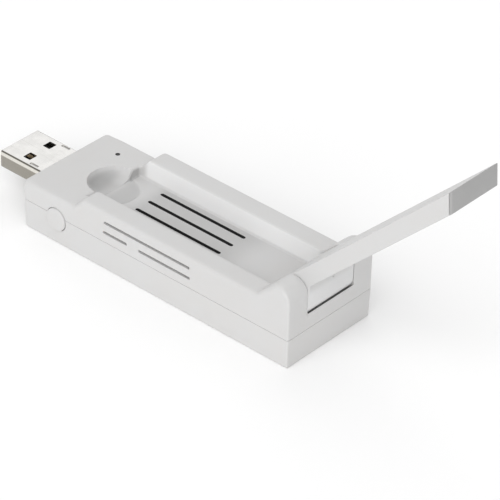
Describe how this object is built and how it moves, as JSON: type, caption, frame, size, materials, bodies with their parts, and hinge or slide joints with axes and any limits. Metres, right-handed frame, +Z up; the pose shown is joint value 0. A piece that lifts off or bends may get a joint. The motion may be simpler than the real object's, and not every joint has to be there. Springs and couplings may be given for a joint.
{
  "type": "usb wifi adapter",
  "caption": "Slim white USB wireless adapter with a flip-up antenna that folds flush between two rails, a USB-A plug, a side push button and cooling slots.",
  "frame": {"origin": "middle of the flat underside of the case, without the plug and the antenna", "axes": "+Z up; the USB plug points to -X and the antenna's hinge is at the +X end with its axis along Y; the push button is on the -Y side"},
  "size_m": [0.1285, 0.0272, 0.0584],
  "materials": {
    "white_shell": "moulded white, fine satin texture",
    "white_antenna": "moulded white, fine satin texture",
    "white_button": "moulded white, satin",
    "grey_plastic": "grey, satin",
    "black_plastic": "black, satin",
    "label_film": "blank matt film",
    "plug_plating": "nickel plate, lightly brushed",
    "gold_plate": "gold flash, bright",
    "tin_plate": "tin plate, dull bright",
    "steel": "turned, bright",
    "brass": "turned, bright",
    "circuit_board": "green solder mask",
    "chip_epoxy": "black moulding compound",
    "thermal_pad": "soft grey silicone",
    "led_lens": "clear yellow epoxy",
    "clear_acrylic": "clear acrylic",
    "lead_sheath": "black coaxial lead"
  },
  "bodies": {
    "case": {"upper_case": "white_shell", "lower_case": "white_shell", "rating_label": "label_film", "usb_shell": "plug_plating", "usb_insulator": "black_plastic", "usb_contact_1": "gold_plate", "usb_contact_2": "gold_plate", "usb_contact_3": "gold_plate", "usb_contact_4": "gold_plate", "main_board": "circuit_board", "shield_can": "tin_plate", "wifi_chip": "chip_epoxy", "thermal_pad": "thermal_pad", "amplifier_chip_1": "chip_epoxy", "amplifier_chip_2": "chip_epoxy", "crystal": "tin_plate", "flash_chip": "chip_epoxy", "regulator_chip": "chip_epoxy", "power_inductor": "grey_plastic", "status_led": "led_lens", "light_pipe": "clear_acrylic", "switch_body": "tin_plate", "hinge_sleeve": "brass", "hinge_pin": "steel", "friction_washer": "steel", "lead_socket": "gold_plate", "aerial_lead_base": "lead_sheath"},
    "antenna": {"antenna_housing": "white_antenna", "antenna_cover": "white_antenna", "antenna_tip_plate": "grey_plastic", "antenna_radiator": "gold_plate", "aerial_lead_arm": "lead_sheath"},
    "button": {"push_button": "white_button", "switch_plunger": "black_plastic"}
  },
  "joints": [
    {"name": "antenna_flip", "type": "hinge", "parent": "case", "child": "antenna", "pos_m": [0.0352, 0, 0.0147], "axis": [0, 1, 0], "range_deg": [-135.65, 44.35]},
    {"name": "button_press", "type": "slide", "parent": "case", "child": "button", "axis": [0, 1, 0], "range_m": [0, 0.0003], "stiffness_N_per_m": 1500}
  ]
}
